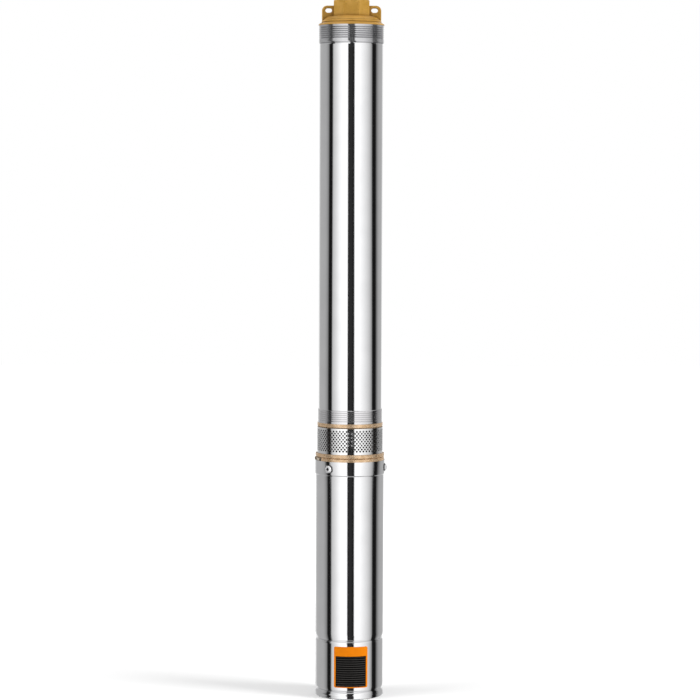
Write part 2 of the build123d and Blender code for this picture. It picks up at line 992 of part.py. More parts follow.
def ball_set(bottom, bore_od, outer_od, width, ball_od):
    """Balls and the cage that keeps them apart."""
    pitch_r = (bore_od + outer_od) / 4
    middle = bottom + width / 2
    half = ball_od / 2 + cage_overhang
    cage = washer(pitch_r + cage_wall / 2, pitch_r - cage_wall / 2, middle - half, middle + half)
    pocket = Pos(pitch_r, 0, middle) * Rot(0, 90, 0) * Cylinder(ball_od / 2 + slip, 4 * cage_wall)
    ball = Pos(pitch_r, 0, middle) * Sphere(ball_od / 2)
    turns = around(ball_count)
    return [cage - [turn * pocket for turn in turns]] + [turn * ball for turn in turns]


lower_sizes = (lower_bearing, lower_bore, lower_outer, lower_width, lower_ball)
upper_sizes = (upper_bearing, upper_bore, upper_outer, upper_width, upper_ball)


def lower_bearing_housing():
    """Disc that sits on the shell's upper groove, with the bearing's pocket."""
    rim_r = shell_in - slip
    neck_r = groove_in - face_play
    pocket_r = lower_outer / 2 + slip
    bottom = lower_bearing - housing_floor
    return turned(
        (lower_bore / 2 + running, bottom),
        (neck_r, bottom),
        (neck_r, barrel_bottom),
        (rim_r, barrel_bottom),
        (rim_r, housing_top),
        (rim_r - housing_wall, housing_top),
        (rim_r - housing_wall, lower_bearing + housing_floor),
        (pocket_r + housing_wall + bevel, lower_bearing + housing_floor),
        (pocket_r + housing_wall, lower_bearing + lower_width),
        (pocket_r, lower_bearing + lower_width),
        (pocket_r, lower_bearing),
        (lower_bore / 2 + running, lower_bearing),
    )


# Stator and rotor

def slot_sketch(trim):
    """One winding slot, lying along +X from the bore, with play trimmed off its sides."""
    middle = stator_bore / 2 + slot_inset + slot_depth / 2
    return Pos(middle, 0) * Rectangle(slot_depth - 2 * trim, slot_width - 2 * trim)


def stator_core():
    mouth_length = slot_inset + overcut
    mouth = Pos((stator_bore + slot_inset) / 2, 0) * Rectangle(mouth_length, slot_mouth)
    plate = Circle(shell_in - slip) - Circle(stator_bore / 2)
    cut = slot_sketch(0) + mouth
    plate -= [turn * cut for turn in around(slot_count)]
    return Pos(0, 0, stator_bottom) * extrude(plate, stator_length)


def coil_ring(bottom, top, bulge_top):
    """End winding: a wound ring with a rounded crown on its outer end."""
    inner_r, outer_r = coil_bore / 2, coil_od / 2
    if bulge_top:
        rim = top - coil_crown
        return turned((inner_r, bottom), (outer_r, bottom), (outer_r, rim), (inner_r, rim, -coil_crown))
    rim = bottom + coil_crown
    return turned((inner_r, rim), (outer_r, rim, -coil_crown), (outer_r, top), (inner_r, top))


def stator_windings():
    bar = extrude(slot_sketch(slip), stator_length + 2 * overcut)
    bars = [turn * Pos(0, 0, stator_bottom - overcut) * bar for turn in around(slot_count)]
    lower = coil_ring(lower_coil, stator_bottom, False)
    upper = coil_ring(stator_top, upper_coil_top, True)
    return lower + upper + bars


def rotor_core():
    core_r = stator_bore / 2 - rotor_play
    ring_r = core_r - rotor_ring_step
    bore_r = shaft_od / 2 + slip
    return turned(
        (bore_r, stator_bottom - rotor_ring),
        (ring_r, stator_bottom - rotor_ring),
        (ring_r, stator_bottom),
        (core_r, stator_bottom),
        (core_r, stator_top),
        (ring_r, stator_top),
        (ring_r, stator_top + rotor_ring),
        (bore_r, stator_top + rotor_ring),
    )


def rotor_shaft():
    """Stepped shaft, from the lower journal to the splined end in the coupling."""
    lower_r = lower_bore / 2 - slip
    upper_r = upper_bore / 2 - slip
    body_r = shaft_od / 2
    seal_r = seal_journal_od / 2
    spline_r = spline_od / 2
    seal_start = upper_bearing + upper_width
    return turned(
        (0, lower_bearing - bevel),
        (lower_r - bevel, lower_bearing - bevel),
        (lower_r, lower_bearing),
        (lower_r, lower_bearing + lower_width),
        (body_r, lower_bearing + lower_width),
        (body_r, upper_bearing - thrust_collar),
        (thrust_collar_od / 2, upper_bearing - thrust_collar),
        (thrust_collar_od / 2, upper_bearing),
        (upper_r, upper_bearing),
        (upper_r, seal_start),
        (seal_r, seal_start),
        (seal_r, slinger_bottom + slinger_hub),
        (spline_r, slinger_bottom + slinger_hub),
        (spline_r, spline_top - bevel),
        (spline_r - bevel, spline_top),
        (0, spline_top),
    )


# Shaft seal and slinger

def shaft_seal_stationary():
    outer_r = seal_pocket_od / 2 - slip
    inner_r = seal_journal_od / 2 + running
    bottom = seal_top - seal_seat_height
    return turned(
        (inner_r, bottom),
        (outer_r - seal_lip, bottom),
        (outer_r - seal_lip, bottom + seal_lip / 2),
        (outer_r, bottom + seal_lip / 2),
        (outer_r, seal_top),
        (inner_r, seal_top),
    )


def shaft_seal_rotating():
    inner_r = seal_journal_od / 2 + slip
    outer_r = seal_pocket_od / 2 - seal_lip - running
    top = seal_top - seal_seat_height - slip
    bottom = top - seal_head_height
    return turned(
        (inner_r, bottom),
        (outer_r, bottom),
        (outer_r, bottom + seal_lip),
        (outer_r - seal_lip / 2, bottom + 2 * seal_lip),
        (outer_r, bottom + 3 * seal_lip),
        (outer_r, top - seal_lip),
        (outer_r - bevel, top),
        (inner_r, top),
    )


def sand_slinger():
    inner_r = seal_journal_od / 2 + slip
    disc_r = slinger_od / 2
    hub = slinger_hub_od / 2
    top = slinger_bottom + slinger_hub
    return turned(
        (inner_r, slinger_bottom),
        (disc_r, slinger_bottom - slinger_droop),
        (disc_r, slinger_bottom - slinger_droop + slinger_disc),
        (hub, slinger_bottom + slinger_disc),
        (hub - bevel, top),
        (inner_r, top),
    )


# Base of the motor

def base_cover():
    """Disc that the foot's lip is rolled under, vented to the well."""
    cover_r = cover_od / 2
    bottom = shell_wall
    top = bottom + cover_height
    body = turned(
        (0, bottom),
        (cover_r - cover_chamfer, bottom),
        (cover_r, bottom + cover_chamfer),
        (cover_r, top),
        (0, top),
    )
    body -= rod(plug_head_od / 2 + slip, bottom - overcut, bottom + plug_head)
    body -= rod(plug_od / 2 + slip, bottom, top + overcut)
    vent = Pos(vent_circle / 2, 0, cover_height / 2) * Cylinder(vent_od / 2, 3 * cover_height)
    return body - [turn * vent for turn in around(vent_count, 45)]


def filler_plug():
    head_top_level = shell_wall + plug_head
    low = shell_wall + rim_edge
    body = turned(
        (0, low),
        (plug_head_od / 2 - rim_edge, low),
        (plug_head_od / 2, low + rim_edge),
        (plug_head_od / 2, head_top_level),
        (plug_od / 2, head_top_level),
        (plug_od / 2, shell_wall + cover_height),
        (0, shell_wall + cover_height),
    )
    return body - hexagon(plug_socket, low - overcut, head_top_level - rim_edge)


def diaphragm():
    """Rubber cup over the base cover, which lets the oil swell with heat."""
    outer_r = groove_in - face_play
    cup_r = outer_r - diaphragm_rim
    crown_r = cup_r - diaphragm_crown
    bottom = shell_wall + cover_height
    top = bottom + diaphragm_height
    wall = diaphragm_wall
    return turned(
        (cup_r - wall, bottom),
        (outer_r, bottom),
        (outer_r, bottom + diaphragm_bead),
        (cup_r, bottom + diaphragm_bead),
        (cup_r, bottom + diaphragm_height / 2),
        (crown_r, top),
        (0, top),
        (0, top - wall),
        (crown_r - wall, top - wall),
        (cup_r - wall, bottom + diaphragm_height / 2),
    )


def all_pieces():
    """Every node's name with its solid or its list of solids."""
    pieces = {
        "discharge_head": discharge_head(),
        "head_seal_ring": head_seal_ring(),
        "valve_guide": valve_guide(),
        "valve_poppet": valve_poppet(),
        "valve_seal": valve_seal(),
        "valve_spring": valve_spring(),
        "pump_tube": pump_tube(),
        "top_bearing_housing": top_bearing_housing(),
        "top_bearing_bush": top_bearing_bush(),
        "pump_shaft": pump_shaft(),
        "shaft_lock_nut": shaft_lock_nut(),
        "suction_casing": suction_casing(),
        "strainer": strainer(),
        "suction_bolts": suction_bolts(),
        "coupling": coupling(),
        "motor_bracket": motor_bracket(),
        "cable_gland": cable_gland(),
        "shell_screws": shell_screws(),
        "sand_slinger": sand_slinger(),
        "shaft_seal_stationary": shaft_seal_stationary(),
        "shaft_seal_rotating": shaft_seal_rotating(),
        "upper_bearing_outer_ring": outer_ring(*upper_sizes),
        "upper_bearing_inner_ring": inner_ring(*upper_sizes),
        "upper_bearing_balls": ball_set(*upper_sizes),
        "motor_shell": motor_shell(),
        "stator_core": stator_core(),
        "stator_windings": stator_windings(),
        "rotor_core": rotor_core(),
        "rotor_shaft": rotor_shaft(),
        "lower_bearing_housing": lower_bearing_housing(),
        "lower_bearing_outer_ring": outer_ring(*lower_sizes),
        "lower_bearing_inner_ring": inner_ring(*lower_sizes),
        "lower_bearing_balls": ball_set(*lower_sizes),
        "diaphragm": diaphragm(),
        "base_cover": base_cover(),
        "filler_plug": filler_plug(),
    }
    wheel, bowl = impeller(), diffuser()
    for n in range(stage_count):
        place = Pos(0, 0, stage_bottom + n * stage_pitch)
        pieces[f"impeller_{n + 1:02d}"] = place * wheel
        pieces[f"diffuser_{n + 1:02d}"] = place * bowl
    return pieces


os.makedirs("parts", exist_ok=True)
for name, piece in all_pieces().items():
    shape = Compound(children=piece) if isinstance(piece, list) else piece
    export_step(shape, f"parts/{name}.step")
    print(name, len(shape.solids()), round(shape.volume, 1))
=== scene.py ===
import math

import bpy
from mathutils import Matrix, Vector


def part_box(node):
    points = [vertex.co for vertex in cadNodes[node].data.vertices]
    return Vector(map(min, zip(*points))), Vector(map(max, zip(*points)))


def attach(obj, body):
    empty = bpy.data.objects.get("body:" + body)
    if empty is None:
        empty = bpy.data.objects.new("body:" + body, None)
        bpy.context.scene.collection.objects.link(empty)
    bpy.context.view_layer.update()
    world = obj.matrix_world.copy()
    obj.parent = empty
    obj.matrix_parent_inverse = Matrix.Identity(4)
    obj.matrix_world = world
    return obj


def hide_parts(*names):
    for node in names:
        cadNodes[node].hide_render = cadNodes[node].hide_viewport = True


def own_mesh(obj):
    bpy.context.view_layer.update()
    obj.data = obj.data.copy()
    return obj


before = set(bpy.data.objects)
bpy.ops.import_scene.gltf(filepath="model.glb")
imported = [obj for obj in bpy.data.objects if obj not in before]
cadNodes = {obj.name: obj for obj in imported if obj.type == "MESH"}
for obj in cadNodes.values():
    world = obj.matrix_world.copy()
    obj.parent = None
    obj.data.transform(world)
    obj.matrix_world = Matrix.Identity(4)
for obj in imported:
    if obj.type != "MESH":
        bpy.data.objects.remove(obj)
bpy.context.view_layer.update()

# A borehole pump on its foot, in metres. Azimuths count from the front (-Y) towards +X.


# Helpers for node trees

def addNode(tree, kind, **settings):
    node = tree.nodes.new(kind)
    for name, value in settings.items():
        setattr(node, name, value)
    return node


def feed(tree, socket, value):
    if isinstance(value, bpy.types.NodeSocket):
        tree.links.new(value, socket)
    else:
        socket.default_value = value


def grey(tone):
    return (tone, tone, tone, 1)


def compute(tree, operation, first, second=None):
    node = addNode(tree, "ShaderNodeMath", operation=operation)
    feed(tree, node.inputs[0], first)
    if second is not None:
        feed(tree, node.inputs[1], second)
    return node.outputs[0]


def restOf(tree, share):
    return compute(tree, "SUBTRACT", 1.0, share)


def partsOf(tree, place):
    node = addNode(tree, "ShaderNodeSeparateXYZ")
    feed(tree, node.inputs[0], place)
    return node.outputs


def lengthOf(tree, place):
    node = addNode(tree, "ShaderNodeVectorMath", operation="LENGTH")
    feed(tree, node.inputs[0], place)
    return node.outputs["Value"]


def ramp(tree, source, stops):
    node = addNode(tree, "ShaderNodeValToRGB")
    elements = node.color_ramp.elements
    while len(elements) < len(stops):
        elements.new(0.5)
    for element, (place, tone) in zip(elements, stops):
        element.position = place
        element.color = (*tone, 1) if isinstance(tone, tuple) else grey(tone)
    feed(tree, node.inputs["Fac"], source)
    return node.outputs["Color"]


def smoothStep(tree, value, low, high):
    node = addNode(tree, "ShaderNodeMapRange", interpolation_type="SMOOTHSTEP")
    feed(tree, node.inputs["Value"], value)
    node.inputs["From Min"].default_value = low
    node.inputs["From Max"].default_value = high
    return node.outputs["Result"]


def mixed(tree, kind, mask, first, second):
    node = addNode(tree, "ShaderNodeMix", data_type=kind)
    feed(tree, node.inputs["Factor"], mask)
    feed(tree, node.inputs["A"], first)
    feed(tree, node.inputs["B"], second)
    return node.outputs["Result"]


# Studio room: pale walls with three black flags in front, seen in the polished steel.
# Its slopes are those of the mirrored view: about -0.19 at the foot, 0.06 at the head.

roomLook = {
    # azimuth in degrees and brightness of the wall there
    "walls": [(-174, 0.02), (-171, 1.10), (-150, 0.48), (-106, 0.46), (-98, 0.40), (-90, 0.28),
              (-84, 0.01), (-71.5, 0.01), (-67, 0.62), (-53, 0.88), (-41, 1.15), (-29, 1.30),
              (-11.7, 1.30), (-10.2, 0.01), (-5, 0.03), (3, 0.03), (7.8, 0.014), (11.8, 0.014),
              (14.3, 1.30), (31, 1.25), (46, 1.05), (60, 0.84), (70, 0.66), (79.6, 0.38),
              (84.6, 0.01), (100.6, 0.01), (105.6, 0.16), (114, 0.34), (124, 0.46), (150, 0.48),
              (171, 1.10), (174, 0.02)],
    "lean": 0.35,                    # how far the flags lean, between these two slopes
    "leanFrom": -0.20,
    "leanTo": 0.08,
    "leanBack": 0.09,                # and how far they come back, up to this slope
    "leanEnd": 0.20,
    "curveEnd": (0.45, 0.85),        # how far behind the pump their curve fades out
    "tubeSpan": (-0.09, 0.05),       # slopes from the foot of the tube to its top
    "tubeFlare": 0.040,              # share by which they stand apart at its foot
    "shellStep": (-0.108, -0.100),   # slopes at the step from shell to tube
    "shellFlare": 0.074,             # share by which they stand closer below it
    "overhead": 0.67,
    "upFrom": (0.86, 0.94),          # heights, from 0 at the bottom to 1 at the top
    "below": 0.40,
    "downFrom": (0.04, 0.13),
    "fill": 0.44,                    # what matt surfaces see all round
}


def flagAzimuth(tree, parts, look):
    front = compute(tree, "MULTIPLY", parts["Y"], -1.0)
    azimuth = compute(tree, "ARCTAN2", parts["X"], front)
    # the flags curve with height, so that they stay upright in a shell that necks in
    half = compute(tree, "ARCTAN2", parts["X"], compute(tree, "ADD", front, 1.0))
    curve = compute(tree, "SUBTRACT", compute(tree, "MULTIPLY", half, 2.0), azimuth)
    # they stand wider apart towards the foot of the tube, and closer beside the shell
    wider = restOf(tree, smoothStep(tree, parts["Z"], *look["tubeSpan"]))
    wider = compute(tree, "MULTIPLY", wider, look["tubeFlare"])
    closer = restOf(tree, smoothStep(tree, parts["Z"], *look["shellStep"]))
    closer = compute(tree, "MULTIPLY", closer, look["shellFlare"])
    flare = compute(tree, "SUBTRACT", closer, wider)
    curve = compute(tree, "ADD", curve, compute(tree, "MULTIPLY", azimuth, flare))
    ahead = restOf(tree, smoothStep(tree, parts["Y"], *look["curveEnd"]))
    curve = compute(tree, "MULTIPLY", curve, ahead)
    turn = compute(tree, "ADD", azimuth, curve)
    slope = compute(tree, "MAXIMUM", parts["Z"], look["leanFrom"])
    slope = compute(tree, "MINIMUM", slope, look["leanTo"])
    back = smoothStep(tree, parts["Z"], look["leanTo"], look["leanEnd"])
    lean = compute(tree, "SUBTRACT", compute(tree, "MULTIPLY", slope, look["lean"]),
                   compute(tree, "MULTIPLY", back, look["leanBack"]))
    return compute(tree, "ADD", turn, lean)


def buildRoom(look):
    world = bpy.data.worlds.new("studioRoom")
    bpy.context.scene.world = world
    world.use_nodes = True
    tree = world.node_tree
    tree.nodes.clear()
    parts = partsOf(tree, addNode(tree, "ShaderNodeTexCoord").outputs["Generated"])
    turn = compute(tree, "DIVIDE", flagAzimuth(tree, parts, look), 2 * math.pi)
    stops = [((azimuth + 180) / 360, tone) for azimuth, tone in look["walls"]]
    tone = ramp(tree, compute(tree, "ADD", turn, 0.5), stops)
    height = compute(tree, "ADD", compute(tree, "MULTIPLY", parts["Z"], 0.5), 0.5)
    up = ramp(tree, height, list(zip(look["upFrom"], (0.0, 1.0))))
    down = ramp(tree, height, list(zip(look["downFrom"], (1.0, 0.0))))
    tone = mixed(tree, "RGBA", up, tone, grey(look["overhead"]))
    tone = mixed(tree, "RGBA", down, tone, grey(look["below"]))
    rays = addNode(tree, "ShaderNodeLightPath").outputs
    tone = mixed(tree, "RGBA", rays["Is Diffuse Ray"], tone, grey(look["fill"]))
    room = addNode(tree, "ShaderNodeBackground")
    feed(tree, room.inputs["Color"], tone)
    white = addNode(tree, "ShaderNodeBackground")    # what the eye sees
    white.inputs["Color"].default_value = grey(1)
    seen = compute(tree, "MAXIMUM", rays["Is Camera Ray"], rays["Is Transmission Ray"])
    choice = addNode(tree, "ShaderNodeMixShader")
    feed(tree, choice.inputs["Fac"], seen)
    feed(tree, choice.inputs[1], room.outputs[0])
    feed(tree, choice.inputs[2], white.outputs[0])
    out = addNode(tree, "ShaderNodeOutputWorld")
    feed(tree, out.inputs["Surface"], choice.outputs[0])


# Lamps: four softboxes, which the steel doesn't mirror

lampLook = {
    "keySoftbox": dict(place=(-2.3, -1.2, 1.8), aim=(0, 0, 0.45), size=(1.4, 1.4), power=34.0),
    "leftSoftbox": dict(place=(-2.0, -0.3, 1.75), aim=(0, 0, 0.75), size=(1.2, 0.6), power=22.0),
    "rightSoftbox": dict(place=(2.2, -0.9, 1.5), aim=(0, 0, 0.75), size=(1.2, 0.6), power=74.0),
    "backSoftbox": dict(place=(0.7, 2.0, 2.2), aim=(0, 0, 0.5), size=(1.4, 1.4), power=9.0),
}


def hangLamp(name, look):
    data = bpy.data.lights.new(name, "AREA")
    data.shape = "RECTANGLE"
    data.size, data.size_y = look["size"]
    data.energy = look["power"]
    lamp = bpy.data.objects.new(name, data)
    bpy.context.scene.collection.objects.link(lamp)
    lamp.location = look["place"]
    sight = Vector(look["aim"]) - Vector(look["place"])
    lamp.rotation_euler = sight.to_track_quat("-Z", "Y").to_euler()
    lamp.visible_glossy = False


# Floor: white to the eye far out, while the shadow at the foot stays

floorLook = {
    "size": 14.0,
    "tone": 0.86,
    "rough": 0.9,
    "lift": 0.62,                # its own light, for the eye alone
    "shadowReach": (0.2, 1.4),   # where it sets in and where it is full
}


def layFloor(look):
    bpy.ops.object.select_all(action="DESELECT")
    bpy.ops.mesh.primitive_plane_add(size=look["size"], location=(0, 0, 0))
    floor = bpy.context.object
    floor.name = "studioFloor"
    material = bpy.data.materials.new("paleFloor")
    material.use_nodes = True
    tree = material.node_tree
    shader = tree.nodes["Principled BSDF"]
    shader.inputs["Base Color"].default_value = grey(look["tone"])
    shader.inputs["Roughness"].default_value = look["rough"]
    shader.inputs["Specular IOR Level"].default_value = 0.0
    rays = addNode(tree, "ShaderNodeLightPath").outputs
    lift = addNode(tree, "ShaderNodeEmission")
    lift.inputs["Color"].default_value = grey(1)
    away = lengthOf(tree, addNode(tree, "ShaderNodeTexCoord").outputs["Object"])
    away = smoothStep(tree, away, *look["shadowReach"])
    far = compute(tree, "MULTIPLY", away, look["lift"])
    feed(tree, lift.inputs["Strength"], compute(tree, "MULTIPLY", rays["Is Camera Ray"], far))
    both = addNode(tree, "ShaderNodeAddShader")
    feed(tree, both.inputs[0], shader.outputs[0])
    feed(tree, both.inputs[1], lift.outputs[0])
    feed(tree, tree.nodes["Material Output"].inputs["Surface"], both.outputs[0])
    floor.data.materials.append(material)
    floor.visible_glossy = False  # the shell mirrors the room down to its foot


# Camera: far off and a little above, as in the photograph

cameraLook = {
    "place": (-0.0013, -3.730, 0.7147),
    "pitch": 3.455,       # down, in degrees
    "roll": 0.22,
    "lens": 136.3,
    "sensor": 36.0,
    "clipEnd": 50.0,
}


def aimCamera(look):
    data = bpy.data.cameras.new("photoCamera")
    data.lens = look["lens"]
    data.sensor_width = look["sensor"]
    data.clip_end = look["clipEnd"]
    camera = bpy.data.objects.new("photoCamera", data)
    bpy.context.scene.collection.objects.link(camera)
    camera.location = look["place"]
    camera.rotation_euler = (math.radians(90 - look["pitch"]), math.radians(-look["roll"]), 0)
    bpy.context.scene.camera = camera


bpy.context.scene.view_settings.view_transform = "Standard"
buildRoom(roomLook)
for lampName, look in lampLook.items():
    hangLamp(lampName, look)
layFloor(floorLook)
aimCamera(cameraLook)
print("studio ready")


# Finishes: a cloud varies the tone, a finer grain the gloss and the bump

noiseSpan = (0.3, 0.7)    # where nearly all of a noise lies
even = (1, 1, 1)
usualCloud = 40.0
usualDepth = 0.00003
grainDetail = 3.0
bandSoft = 0.0012
coreSoft = 0.0003
cornerSamples = 8


def startFinish(name):
    material = bpy.data.materials.new(name)
    material.use_nodes = True
    tree = material.node_tree
    place = addNode(tree, "ShaderNodeTexCoord").outputs["Object"]
    return material, tree, tree.nodes["Principled BSDF"], place


def noiseAt(tree, place, scale, stretch=even, detail=2.0):
    mapping = addNode(tree, "ShaderNodeMapping")
    mapping.inputs["Scale"].default_value = stretch
    feed(tree, mapping.inputs["Vector"], place)
    noise = addNode(tree, "ShaderNodeTexNoise")
    noise.inputs["Scale"].default_value = scale
    noise.inputs["Detail"].default_value = detail
    feed(tree, noise.inputs["Vector"], mapping.outputs[0])
    return noise.outputs["Fac"]


def toneOf(tree, cloud, tones):
    return ramp(tree, cloud, list(zip(noiseSpan, tones)))


def glossOf(tree, grain, gloss):
    node = addNode(tree, "ShaderNodeMapRange")
    feed(tree, node.inputs["Value"], grain)
    node.inputs["From Min"].default_value = noiseSpan[0]
    node.inputs["From Max"].default_value = noiseSpan[1]
    node.inputs["To Min"].default_value = gloss[0]
    node.inputs["To Max"].default_value = gloss[1]
    return node.outputs["Result"]


def between(tree, value, low, high, soft):
    rise = smoothStep(tree, value, low - soft, low)
    fall = smoothStep(tree, value, high, high + soft)
    return compute(tree, "SUBTRACT", rise, fall)


def withinRadius(tree, place, low, high):
    flat = addNode(tree, "ShaderNodeVectorMath", operation="MULTIPLY")
    feed(tree, flat.inputs[0], place)
    flat.inputs[1].default_value = (1, 1, 0)
    return restOf(tree, smoothStep(tree, lengthOf(tree, flat.outputs[0]), low, high))


# painted shade: the bottoms of the grooves, found by their radius, get darker tones
def bandTone(tree, place, cloud, band):
    groove = withinRadius(tree, place, *band["groove"])
    return mixed(tree, "RGBA", groove, toneOf(tree, cloud, band["tones"]),
                 toneOf(tree, cloud, band["paintedGrooveShade"]))


# painted shade: how far a place is from the hollows and rims that ambient occlusion finds
def clearOf(tree, corner):    # 1 away from the hollows or rims, 0 in them
    shade = addNode(tree, "ShaderNodeAmbientOcclusion", samples=cornerSamples,
                    inside=corner["inside"], only_local=True)
    shade.inputs["Distance"].default_value = corner["reach"]
    return smoothStep(tree, shade.outputs["AO"], *corner["clear"])


def raiseGrain(tree, shader, grain, look):
    bump = addNode(tree, "ShaderNodeBump")
    bump.inputs["Strength"].default_value = look["bump"]
    bump.inputs["Distance"].default_value = look.get("depth", usualDepth)
    feed(tree, bump.inputs["Height"], grain)
    feed(tree, shader.inputs["Normal"], bump.outputs[0])


def finishOf(name, look):
    material, tree, shader, place = startFinish(name)
    cloud = noiseAt(tree, place, look.get("cloudSize", usualCloud))
    stretch = look.get("grainStretch", even)
    grain = noiseAt(tree, place, look["grainSize"], stretch, grainDetail)
    tone = toneOf(tree, cloud, look["tones"])
    rough = glossOf(tree, grain, look["gloss"])
    metal = look.get("metal", 1.0)
    for band in look.get("bands", []):
        mask = between(tree, partsOf(tree, place)["Z"], band["low"], band["high"], bandSoft)
        tone = mixed(tree, "RGBA", mask, tone, bandTone(tree, place, cloud, band))
        rough = mixed(tree, "FLOAT", mask, rough, glossOf(tree, grain, band["gloss"]))
        drop = compute(tree, "MULTIPLY", mask, 1.0 - band["metal"])
        metal = compute(tree, "SUBTRACT", metal, drop)
    # painted shade: near black within this radius of the axis
    if "paintedShadeRadius" in look:
        mask = withinRadius(tree, place, look["paintedShadeRadius"] - coreSoft, look["paintedShadeRadius"])
        tone = mixed(tree, "RGBA", mask, tone, toneOf(tree, cloud, look["paintedShadeTones"]))
        rough = mixed(tree, "FLOAT", mask, rough, glossOf(tree, grain, look["coreGloss"]))
    # painted shade: brown laid into the hollows and rims found by ambient occlusion
    for corner in look.get("corners", []):
        paintedCornerShade = toneOf(tree, cloud, corner["tones"])
        tone = mixed(tree, "RGBA", clearOf(tree, corner), paintedCornerShade, tone)
    feed(tree, shader.inputs["Metallic"], metal)
    feed(tree, shader.inputs["Base Color"], tone)
    feed(tree, shader.inputs["Roughness"], rough)
    raiseGrain(tree, shader, grain, look)
    return material


polishedSteel = dict(tones=((0.80, 0.80, 0.81), (0.84, 0.84, 0.85)), gloss=(0.05, 0.08),
                     grainSize=1.0, grainStretch=(30, 30, 2600), bump=0.10, depth=0.00001)

# the rolled thread bands at the two ends of the tube, from below its foot to above its top
tubeLow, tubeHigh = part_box("pump_tube")
# painted shade: the bottoms of the grooves are darker than the rest of each band
lowerBand = dict(low=tubeLow.z - 0.0009, high=tubeLow.z + 0.0181, metal=0.98,
                 groove=(tubeHigh.x - 0.0004, tubeHigh.x - 0.00005), gloss=(0.04, 0.06),
                 tones=((0.68, 0.67, 0.68), (0.74, 0.73, 0.74)),
                 paintedGrooveShade=((0.55, 0.54, 0.55), (0.61, 0.60, 0.61)))
upperBand = dict(low=tubeHigh.z - 0.0253, high=tubeHigh.z + 0.0007, metal=0.90,
                 groove=(tubeHigh.x - 0.0005, tubeHigh.x - 0.0001), gloss=(0.05, 0.08),
                 tones=((0.49, 0.49, 0.50), (0.57, 0.57, 0.58)),
                 paintedGrooveShade=((0.26, 0.26, 0.27), (0.34, 0.34, 0.35)))

# painted shade: ambient occlusion darkens the head casting to brown in its hollows and along its
# rims
paintedHollowShade = dict(inside=False, reach=0.006, clear=(0.45, 0.95),
                    tones=((0.24, 0.115, 0.018), (0.32, 0.16, 0.03)))
paintedRimShade = dict(inside=True, reach=0.0016, clear=(0.20, 0.90),
                 tones=((0.34, 0.155, 0.02), (0.42, 0.20, 0.035)))

